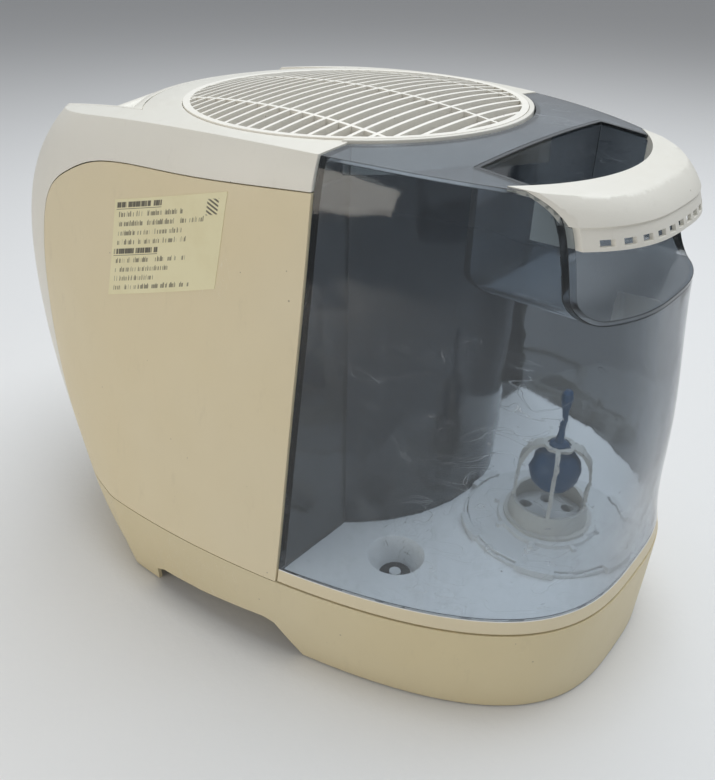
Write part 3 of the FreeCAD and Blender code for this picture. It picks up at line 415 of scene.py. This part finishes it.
def printed_label(name, paper, ink):
    """Yellowed paper sticker with ragged rows of unreadable marks and one plain corner mark."""
    s = Shader(name)
    y, z = s.along("Y"), s.along("Z")
    top, bottom = on_line(LABEL_TOP, y, 0), on_line(LABEL_BOTTOM, y, 0)
    left = on_line((LABEL_BOTTOM[0], LABEL_TOP[0]), z, 1)
    right = on_line((LABEL_BOTTOM[1], LABEL_TOP[1]), z, 1)
    down = (top - z) / (top - bottom)
    across = (y - left) / (right - left)
    line = down * LABEL_ROWS - 0.1
    row = line.floor()
    within = line - row
    heading = abs(row).step(0.6, 0.4).either(abs(row - SECOND_HEADING).step(0.6, 0.4))
    settings = {"noise_dimensions": "1D"}
    chance = s.node("ShaderNodeTexWhiteNoise", settings, {"W": row + 4.0}, "Value")
    row_end = heading * 0.47 + (1.0 - heading) * (chance * 0.48 + 0.40)
    row_start = (1.0 - heading) * 0.03 + 0.02
    inside = (across - row_start).step(0.0, 0.004) * (row_end - across).step(0.0, 0.004)
    inside = inside * down.step(0.0, 0.01) * down.step(0.97, 0.96)
    along_row = s.node("ShaderNodeCombineXYZ", None, {0: across, 1: row * 7.3})
    letters = s.noise(88.0, 1.0, 0.5, along_row)
    strokes = letters.step(0.44, 0.54).either(heading * letters.step(0.36, 0.44))
    words = s.noise(17.0, 1.0, 0.5, along_row).step(0.39, 0.43)
    tall = s.noise(60.0, 1.0, 0.5, along_row).step(0.50, 0.58)
    upper = 0.34 - tall.either(heading) * 0.16
    rise = (within - upper).step(0.0, 0.08) * within.step(0.84, 0.76)
    underline = heading * within.step(0.92, 0.94) * within.step(1.0, 0.98)
    marks = (strokes * words * rise).either(underline) * inside
    corner = across.step(0.85, 0.86) * across.step(0.95, 0.94)
    corner = corner * down.step(0.05, 0.07) * down.step(0.23, 0.21)
    stripes = ((across - down) * 150.0).wave().step(-0.1, 0.2)
    marks = (marks * (0.72 + heading * 0.2)).either(corner * stripes * 0.9)
    stain = s.noise(45.0, 4.0, 0.6).step(0.4, 0.75)
    base = s.mix(stain * 0.4, paper, blended(paper, PAPER_STAIN, 0.35))
    base = s.mix(marks, base, ink)
    height = s.bump(s.noise(800.0, 3.0), 0.00004)
    return s.output(s.surface(
        Base_Color=base, Roughness=0.55, Normal=height, Coat_Weight=0.15, Coat_Roughness=0.3,
    ))


# ---- mesh helpers ------------------------------------------------------------------------------
WELD_DISTANCE = 0.00001
SHARP_ANGLE = math.radians(38)
NORMAL_WEIGHT = 60


def link(obj):
    bpy.context.scene.collection.objects.link(obj)
    return obj


def dress(node, material, edge=0.0, segments=2, edge_material=None):
    """Gives a frame node its finish and softens its sharp edges by a small radius in metres."""
    obj = NODES[node]
    obj.data.materials.clear()
    obj.data.materials.append(material)
    if edge > 0:
        weld = obj.modifiers.new("Weld", "WELD")
        weld.merge_threshold = WELD_DISTANCE
        bevel = obj.modifiers.new("Edges", "BEVEL")
        bevel.width = edge
        bevel.segments = segments
        bevel.limit_method = "ANGLE"
        bevel.angle_limit = SHARP_ANGLE
        bevel.use_clamp_overlap = True
        bevel.miter_outer = "MITER_ARC"
        if edge_material:
            obj.data.materials.append(edge_material)
            bevel.material = 1
        normals = obj.modifiers.new("Normals", "WEIGHTED_NORMAL")
        normals.keep_sharp = False
        normals.weight = NORMAL_WEIGHT


def mesh_piece(name, verts, faces, material, body):
    """Smooth shaded mesh that rides on a body."""
    mesh = bpy.data.meshes.new(name)
    mesh.from_pydata(verts, [], faces)
    mesh.validate()
    mesh.polygons.foreach_set("use_smooth", [True] * len(mesh.polygons))
    mesh.materials.append(material)
    obj = link(bpy.data.objects.new(name, mesh))
    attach(obj, body)
    return obj


# ---- settings ----------------------------------------------------------------------------------
def colour_property(name, description, default):
    return bpy.props.FloatVectorProperty(
        name=name, description=description, default=default,
        subtype="COLOR", size=3, min=0.0, max=1.0,
    )


class FinishSettings(bpy.types.PropertyGroup):
    """Colours of the plastics, paper and metal."""

    shell: colour_property("Shell", "Hood and carry grip", (0.80, 0.78, 0.715))
    panel: colour_property("Panel", "Side panels and front louvres", (0.74, 0.65, 0.455))
    tray: colour_property("Tray", "Water tray", (0.70, 0.615, 0.415))
    grille: colour_property("Grille", "Outlet grille", (0.90, 0.875, 0.81))
    smoke: colour_property("Smoke", "Tint that one wall of the tank gives", (0.63, 0.685, 0.74))
    tank_base: colour_property("Tank base", "Moulding that closes the tank", (0.97, 0.97, 0.96))
    cap: colour_property("Cap", "Cap and collar", (0.84, 0.84, 0.83))
    cage: colour_property("Cage", "Float cage", (0.70, 0.68, 0.63))
    float_blue: colour_property("Float", "Float and its stem", (0.015, 0.075, 0.17))
    # painted shade: the inner mouldings get a near-black colour that stands in for the shade inside the
    # housing
    inner: colour_property("Inner", "Inner mouldings", (0.028, 0.033, 0.041))
    label: colour_property("Label", "Paper of the side label", (0.80, 0.74, 0.48))
    cord: colour_property("Cord", "Supply cord and plug", (0.80, 0.79, 0.75))
    wick: colour_property("Wick", "Wick paper", (0.66, 0.62, 0.52))


class CordSettings(bpy.types.PropertyGroup):
    """Sizes of the supply cord."""

    length: bpy.props.FloatProperty(
        name="Length", description="Length from the tray to the plug", default=1.8, unit="LENGTH",
    )
    diameter: bpy.props.FloatProperty(
        name="Diameter", description="Outside diameter of the cord", default=0.0048, unit="LENGTH",
    )
    turns: bpy.props.IntProperty(name="Turns", description="Turns in the tied hank", default=6, min=1)
    squeeze: bpy.props.FloatProperty(
        name="Squeeze", description="Half width of the hank under the tie", default=0.0075, unit="LENGTH",
    )


class StageSettings(bpy.types.PropertyGroup):
    """Camera, floor and lights."""

    lens: bpy.props.FloatProperty(name="Lens", description="Focal length", default=36.5, unit="CAMERA")
    floor: colour_property("Floor", "Studio floor", (0.80, 0.80, 0.80))
    top_light: bpy.props.FloatProperty(
        name="Top light", description="Power of the large overhead light", default=31.0, unit="POWER",
    )
    side_light: bpy.props.FloatProperty(
        name="Side light", description="Power of the light beside the camera", default=6.0, unit="POWER",
    )
    sky: bpy.props.FloatProperty(name="Sky", description="Strength of the even light", default=0.30, min=0.0)


FINISHES = {}


def finish(key):
    """Material that the finishes operator made."""
    return FINISHES[key]


# ---- stage -------------------------------------------------------------------------------------
CAMERA_AT = Vector((0.3824, 0.3218, 0.4016))
CAMERA_LOOK = Vector((-0.656, -0.550, -0.517))
CAMERA_ROLL = math.radians(0.64)
CAMERA_SHIFT = (0.0196, 0.004)
SENSOR_WIDTH = 36.0
NEAREST_SEEN = 0.01
FLOOR_RADIUS = 9.0
FLOOR_HEIGHT = -0.0004
SKY_COLOUR = (0.93, 0.96, 1.0, 1.0)
# Name, place, target, size, the setting that holds its power, its share of that, and its colour.
LIGHTS = (
    (
        "overhead", (-0.45, -0.05, 1.75), (0, 0, 0.2), (1.9, 1.9),
        "top_light", 1.0, (0.94, 0.975, 1.0),
    ),
    ("side", (1.6, -0.5, 0.45), (0, -0.05, 0.1), (1.2, 0.6), "side_light", 1.0, (1.0, 0.92, 0.80)),
    ("front", (0.6, 1.7, 0.7), (0, 0.1, 0.15), (0.9, 0.7), "side_light", 0.3, (1.0, 0.95, 0.87)),
)


def aim(obj, target):
    obj.rotation_euler = (target - obj.location).to_track_quat("-Z", "Y").to_euler()


def area_light(name, at, target, size, power, colour):
    lamp = bpy.data.lights.new(name, "AREA")
    lamp.shape = "RECTANGLE"
    lamp.size, lamp.size_y = size
    lamp.energy = power
    lamp.color = colour
    obj = link(bpy.data.objects.new(name, lamp))
    obj.location = at
    aim(obj, Vector(target))


class HUMIDIFIER_OT_stage(bpy.types.Operator):
    """Camera, studio floor and soft lights"""

    bl_idname = "humidifier.stage"
    bl_label = "Stage"

    def execute(self, context):
        values = context.scene.humidifier_stage
        camera = bpy.data.cameras.new("Camera")
        camera.sensor_width = SENSOR_WIDTH
        camera.lens = values.lens
        camera.shift_x, camera.shift_y = CAMERA_SHIFT
        camera.clip_start = NEAREST_SEEN
        obj = link(bpy.data.objects.new("Camera", camera))
        turn = CAMERA_LOOK.to_track_quat("-Z", "Y").to_matrix().to_4x4()
        roll = Matrix.Rotation(CAMERA_ROLL, 4, "Z")
        obj.matrix_world = Matrix.Translation(CAMERA_AT) @ turn @ roll
        context.scene.camera = obj

        floor_mesh = bpy.data.meshes.new("studio_floor")
        shape = bmesh.new()
        bmesh.ops.create_circle(shape, cap_ends=True, segments=96, radius=FLOOR_RADIUS)
        shape.to_mesh(floor_mesh)
        shape.free()
        floor_mesh.materials.append(studio_floor("studio_floor", values.floor))
        floor = link(bpy.data.objects.new("studio_floor", floor_mesh))
        floor.location.z = FLOOR_HEIGHT

        for name, at, target, size, power, share, colour in LIGHTS:
            area_light(name, at, target, size, getattr(values, power) * share, colour)

        world = bpy.data.worlds.new("studio")
        world.use_nodes = True
        background = world.node_tree.nodes["Background"]
        background.inputs["Color"].default_value = SKY_COLOUR
        background.inputs["Strength"].default_value = values.sky
        context.scene.world = world
        context.scene.view_settings.view_transform = "Standard"
        return {"FINISHED"}


# ---- supply cord -------------------------------------------------------------------------------
HANK_AT = Vector((-0.251, 0.092, 0.001))
HANK_TURN = Matrix.Rotation(math.radians(-10.4), 3, "Z")
CORD_LOW = 0.0032
CORD_EXIT = Vector((-0.176, -0.075, 0.017))
TIE_Y = 0.017
POINTS_PER_TURN = 16
LAYER_RISE = 0.0046
HANK_HALF_LENGTH = 0.0600
LOOP_HALF_WIDTH = 0.029
TIE_POINTS = 14
TAIL_POINTS = 12
TAIL_RADIUS = 0.0010


def beside_hank(x, y, z):
    """Point given in the hank's own frame."""
    return HANK_AT + HANK_TURN @ Vector((x, y, z))


CORD_ROUTE = [
    CORD_EXIT,
    Vector((-0.200, -0.0745, 0.016)),
    Vector((-0.230, -0.071, 0.008)),
    Vector((-0.263, -0.061, CORD_LOW)),
    Vector((-0.299, -0.042, CORD_LOW)),
    Vector((-0.328, -0.015, CORD_LOW)),
    Vector((-0.341, 0.017, CORD_LOW)),
    Vector((-0.336, 0.047, CORD_LOW)),
    Vector((-0.314, 0.063, CORD_LOW + 0.0015)),
    beside_hank(-0.040, -0.026, 0.0060),
]


def hank_points(turns, squeeze):
    """Long loops laid beside and over each other, drawn in under the tie and loose at both ends."""
    rng = random.Random(7)
    points = []
    for turn in range(turns):
        layer, inner = divmod(turn, 2)
        z = CORD_LOW + layer * LAYER_RISE
        half = HANK_HALF_LENGTH - 0.007 * inner - 0.0016 * rng.random()
        loose = LOOP_HALF_WIDTH - 0.008 * inner
        narrow = squeeze - inner * squeeze * 0.62
        drift = (rng.random() - 0.5) * 0.003
        for i in range(POINTS_PER_TURN):
            angle = 2 * math.pi * i / POINTS_PER_TURN - 0.45
            rise, side = math.sin(angle), math.cos(angle)
            y = half * rise
            open_share = min(1.0, ((y - TIE_Y) / half) ** 2)
            width = narrow + (loose - narrow) * open_share
            x = math.copysign(abs(side) ** 0.5, side) * width + drift * open_share
            lift = LAYER_RISE * i / POINTS_PER_TURN if inner else 0.0
            points.append(beside_hank(x, y, z + lift + 0.0006 * rng.random()))
    return points


class HUMIDIFIER_OT_cord(bpy.types.Operator):
    """Supply cord with its hank, tie, strain relief and plug"""

    bl_idname = "humidifier.cord"
    bl_label = "Supply cord"

    def execute(self, context):
        values = context.scene.humidifier_cord
        vinyl = finish("cord")
        curve = bpy.data.curves.new("supply_cord", "CURVE")
        curve.dimensions = "3D"
        curve.bevel_depth = values.diameter / 2
        curve.bevel_resolution = 4
        curve.resolution_u = 8
        curve.use_fill_caps = True
        end = [
            beside_hank(0.004, 0.030, 0.0160),
            beside_hank(0.013, 0.040, 0.0125),
            beside_hank(0.0235, 0.042, 0.0075),
        ]
        points = CORD_ROUTE + hank_points(values.turns, values.squeeze) + end
        spline = curve.splines.new("NURBS")
        spline.points.add(len(points) - 1)
        for point, at in zip(spline.points, points):
            point.co = (*at, 1.0)
        spline.order_u = 3
        spline.use_endpoint_u = True
        curve.materials.append(vinyl)
        cord = link(bpy.data.objects.new("supply_cord", curve))
        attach(cord, "base")
        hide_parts("power_cord", "cord_hank")

        tie = self.tie(finish("tie"))
        dress("plug", vinyl, 0.0008)
        dress("plug_blades", finish("brass"), 0.0002)
        dress("cord_gland", vinyl, 0.0004)
        return {"FINISHED"}

    def tie(self, material):
        """Flat paper-covered wire bent round the hank, its two tails twisted together."""
        curve = bpy.data.curves.new("cord_twist_tie", "CURVE")
        curve.dimensions = "3D"
        curve.bevel_depth = 0.0009
        curve.bevel_resolution = 3
        curve.resolution_u = 6
        ring = []
        for i in range(TIE_POINTS):
            angle = 2 * math.pi * i / TIE_POINTS + math.pi / 2
            x = 0.0118 * math.copysign(abs(math.cos(angle)) ** 0.8, math.cos(angle))
            z = 0.0094 + 0.0083 * math.sin(angle)
            ring.append((x, TIE_Y + 0.0006 * math.sin(3 * angle), z))
        spline = curve.splines.new("NURBS")
        spline.points.add(len(ring) - 1)
        for point, at in zip(spline.points, ring):
            point.co = (*beside_hank(*at), 1.0)
        spline.order_u = 3
        spline.use_cyclic_u = True
        for phase in (0.0, math.pi):
            tail = curve.splines.new("NURBS")
            tail.points.add(TAIL_POINTS - 1)
            for i in range(TAIL_POINTS):
                turn = phase + i * 0.9
                at = (
                    0.001 + i * 0.0012 + TAIL_RADIUS * math.cos(turn),
                    TIE_Y + TAIL_RADIUS * math.sin(turn),
                    0.0178 - i * 0.00025 + TAIL_RADIUS * 0.3 * math.sin(turn),
                )
                tail.points[i].co = (*beside_hank(*at), 1.0)
            tail.order_u = 3
            tail.use_endpoint_u = True
        curve.materials.append(material)
        obj = link(bpy.data.objects.new("cord_twist_tie", curve))
        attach(obj, "base")
        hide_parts("cord_tie")
        return obj


# ---- body --------------------------------------------------------------------------------------
class HUMIDIFIER_OT_finishes(bpy.types.Operator):
    """Every finish that the pieces share"""

    bl_idname = "humidifier.finishes"
    bl_label = "Finishes"

    def execute(self, context):
        values = context.scene.humidifier_finish
        FINISHES.update({
            "shell": moulded_plastic("shell_plastic", tuple(values.shell), 0.36, 0.25, 0.5),
            "panel": moulded_plastic("panel_plastic", tuple(values.panel), 0.42, 0.5, 0.3),
            "tray": moulded_plastic("tray_plastic", tuple(values.tray), 0.42, 0.6, 0.6, scuffs=1.6),
            "fascia": moulded_plastic("fascia_plastic", tuple(values.shell), 0.4, 0.3, 0.5),
            "grille": moulded_plastic("grille_plastic", tuple(values.grille), 0.4, 0.3, 0.7),
            "inner": moulded_plastic("inner_plastic", tuple(values.inner), 0.5, 0.2, 0.8),
            "knob": moulded_plastic("knob_plastic", tuple(values.shell), 0.34, 0.2, 0.3),
            "tank_base": water_stained_plastic(
                "tank_base_plastic", tuple(values.tank_base), dry=tuple(values.panel), waterline=0.0733,
                well=(0.087, 0.118, 0.024),
            ),
            "cap": water_stained_plastic("cap_plastic", tuple(values.cap)),
            "cage": water_stained_plastic("cage_plastic", tuple(values.cage)),
            "smoke": smoke_plastic("smoke_plastic", tuple(values.smoke)),
            "smoke_edge": smoke_edge("smoke_edge_plastic", tuple(values.smoke)),
            "float": moulded_plastic("float_plastic", tuple(values.float_blue), 0.32, 0.0, 0.4),
            "fan": moulded_plastic("fan_plastic", (0.42, 0.42, 0.40), 0.45, 0.2, 0.9),
            "switch": moulded_plastic("switch_plastic", (0.05, 0.05, 0.05), 0.5, 0.0, 0.6),
            "rubber": soft_rubber("foot_rubber", (0.035, 0.035, 0.035)),
            "seal": soft_rubber("seal_rubber", (0.02, 0.02, 0.022)),
            "steel": turned_steel("shaft_steel", (0.60, 0.60, 0.59)),
            "motor": turned_steel("motor_steel", (0.30, 0.30, 0.31), 0.45),
            "zinc": turned_steel("bracket_steel", (0.58, 0.58, 0.60), 0.4),
            "brass": turned_steel("blade_brass", (0.72, 0.56, 0.28), 0.25),
            "wick": wick_paper("wick_paper", tuple(values.wick)),
            "cord": cord_vinyl("cord_plastic", tuple(values.cord)),
            "tie": wick_paper("tie_paper", (0.42, 0.28, 0.14)),
            "label": printed_label("label_paper", tuple(values.label), (0.05, 0.045, 0.035)),
        })
        return {"FINISHED"}


class HUMIDIFIER_OT_body(bpy.types.Operator):
    """Hood, side panels, control panel, louvres, tray and feet"""

    bl_idname = "humidifier.body"
    bl_label = "Body"

    def execute(self, context):
        dress("hood", finish("shell"), 0.0007)
        dress("side_panel_right", finish("panel"), 0.0006)
        dress("side_panel_left", finish("panel"), 0.0006)
        dress("control_fascia", finish("fascia"), 0.0006)
        dress("front_intake", finish("panel"), 0.0004)
        dress("water_tray", finish("tray"), 0.0009)
        for node in ("tray_floor", "foot_posts", "wick_seat", "valve_post"):
            dress(node, finish("tray"), 0.0005)
        dress("rubber_feet", finish("rubber"), 0.0005)
        dress("side_label", finish("label"))
        return {"FINISHED"}


class HUMIDIFIER_OT_grille(bpy.types.Operator):
    """Domed outlet grille"""

    bl_idname = "humidifier.grille"
    bl_label = "Outlet grille"

    def execute(self, context):
        dress("outlet_grille", finish("grille"), 0.00035)
        return {"FINISHED"}


class HUMIDIFIER_OT_controls(bpy.types.Operator):
    """Knobs with their shafts and the boxes behind the control panel"""

    bl_idname = "humidifier.controls"
    bl_label = "Controls"

    def execute(self, context):
        for node in ("speed_knob", "humidity_knob"):
            dress(node, finish("knob"), 0.0007, 3)
        for node in ("speed_switch", "humidistat"):
            dress(node, finish("switch"), 0.0006)
        for node in ("speed_shaft", "humidity_shaft"):
            dress(node, finish("steel"), 0.0003)
        return {"FINISHED"}


WICK_CORE = 0.042


class HUMIDIFIER_OT_air_path(bpy.types.Operator):
    """Wick, duct, motor and fan"""

    bl_idname = "humidifier.air_path"
    bl_label = "Air path"

    def execute(self, context):
        # the rear wall and duct carry the near-black inner colour, which is painted shade for the inside of
        # the housing
        dress("rear_wall", finish("inner"), 0.0005)
        dress("air_duct", finish("inner"), 0.0005)
        dress("motor_bracket", finish("zinc"), 0.0003)
        dress("fan_motor", finish("motor"), 0.0005)
        dress("motor_screws", finish("steel"), 0.0003)
        dress("fan_shaft", finish("steel"), 0.0003)
        dress("fan_blades", finish("fan"), 0.0004)
        dress("fan_nut", finish("fan"), 0.0003)
        dress("wick_top_ring", finish("fan"), 0.0005)
        self.pleated_wick()
        return {"FINISHED"}

    def pleated_wick(self):
        """Corrugated paper tube: an outer and an inner wall, closed at both ends."""
        low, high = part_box("wick_filter")
        centre = (low + high) / 2
        outer, inner = (high.x - low.x) / 2, WICK_CORE
        pleats, per_pleat, layers = 60, 6, 5
        count = pleats * per_pleat
        verts, faces, rings = [], [], []
        for radius, wave in ((outer, 0.0022), (inner, 0.0014)):
            for layer in range(layers):
                z = low.z + (high.z - low.z) * layer / (layers - 1)
                rings.append(len(verts))
                for i in range(count):
                    angle = 2 * math.pi * i / count
                    swing = wave * (math.cos(pleats * angle) - 1) / 2
                    bow = 0.0006 * math.sin(5 * angle + layer)
                    r = radius + (swing + bow - 0.0006 if radius == outer else -swing + 0.0002)
                    x, y = centre.x + r * math.cos(angle), centre.y + r * math.sin(angle)
                    verts.append((x, y, z))
        for side in (0, layers):
            for layer in range(layers - 1):
                a, b = rings[side + layer], rings[side + layer + 1]
                for i in range(count):
                    j = (i + 1) % count
                    quad = (a + i, a + j, b + j, b + i)
                    faces.append(quad if side == 0 else quad[::-1])
        for top in (False, True):
            a = rings[layers - 1 if top else 0]
            b = rings[2 * layers - 1 if top else layers]
            for i in range(count):
                j = (i + 1) % count
                quad = (a + i, a + j, b + j, b + i)
                faces.append(quad if top else quad[::-1])
        wick = mesh_piece("pleated_wick", verts, faces, finish("wick"), "base")
        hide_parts("wick_filter")


class HUMIDIFIER_OT_tank(bpy.types.Operator):
    """Smoke tank, its base moulding, carry grip and cap collar"""

    bl_idname = "humidifier.tank"
    bl_label = "Tank"

    def execute(self, context):
        dress("tank_shell", finish("smoke"), 0.0009, 2, finish("smoke_edge"))
        dress("tank_pocket", finish("smoke"), 0.0009, 2, finish("smoke_edge"))
        dress("tank_floor", finish("tank_base"), 0.0006)
        dress("tank_handle", finish("shell"), 0.0012, 3)
        dress("cap_collar", finish("cap"), 0.0004)
        return {"FINISHED"}


class HUMIDIFIER_OT_cap(bpy.types.Operator):
    """Cap, gasket, float cage, float and outlet valve"""

    bl_idname = "humidifier.cap"
    bl_label = "Cap and float"

    def execute(self, context):
        dress("tank_cap", finish("cap"), 0.0005)
        dress("cap_gasket", finish("seal"), 0.0004)
        dress("float_cage", finish("cage"), 0.0004)
        dress("float_ball", finish("float"))
        dress("float_stem", finish("float"))
        dress("valve_seal", finish("seal"), 0.0003)
        dress("valve_plunger", finish("cap"), 0.0003)
        dress("valve_clip", finish("cap"), 0.0002)
        dress("valve_spring", finish("steel"))
        return {"FINISHED"}


class HUMIDIFIER_PT_panel(bpy.types.Panel):
    """Lists the humidifier's operators"""

    bl_label = "Humidifier"
    bl_idname = "HUMIDIFIER_PT_panel"
    bl_space_type = "VIEW_3D"
    bl_region_type = "UI"
    bl_category = "Humidifier"

    def draw(self, context):
        scene = context.scene
        for group in (scene.humidifier_stage, scene.humidifier_cord, scene.humidifier_finish):
            for name in group.bl_rna.properties.keys():
                if name not in {"rna_type", "name"}:
                    self.layout.prop(group, name)
        for operator in OPERATORS:
            self.layout.operator(operator.bl_idname)


SETTINGS = {
    "humidifier_finish": FinishSettings,
    "humidifier_cord": CordSettings,
    "humidifier_stage": StageSettings,
}
OPERATORS = (
    HUMIDIFIER_OT_stage,
    HUMIDIFIER_OT_finishes,
    HUMIDIFIER_OT_cord,
    HUMIDIFIER_OT_body,
    HUMIDIFIER_OT_grille,
    HUMIDIFIER_OT_controls,
    HUMIDIFIER_OT_air_path,
    HUMIDIFIER_OT_tank,
    HUMIDIFIER_OT_cap,
)


def register():
    for name, group in SETTINGS.items():
        bpy.utils.register_class(group)
        setattr(bpy.types.Scene, name, bpy.props.PointerProperty(type=group))
    for operator in OPERATORS:
        bpy.utils.register_class(operator)
    bpy.utils.register_class(HUMIDIFIER_PT_panel)


def unregister():
    bpy.utils.unregister_class(HUMIDIFIER_PT_panel)
    for operator in reversed(OPERATORS):
        bpy.utils.unregister_class(operator)
    for name, group in SETTINGS.items():
        delattr(bpy.types.Scene, name)
        bpy.utils.unregister_class(group)


def main():
    register()
    bpy.ops.humidifier.stage()
    bpy.ops.humidifier.finishes()
    bpy.ops.humidifier.cord()
    bpy.ops.humidifier.body()
    bpy.ops.humidifier.grille()
    bpy.ops.humidifier.controls()
    bpy.ops.humidifier.air_path()
    bpy.ops.humidifier.tank()
    bpy.ops.humidifier.cap()


if __name__ == "__main__":
    main()
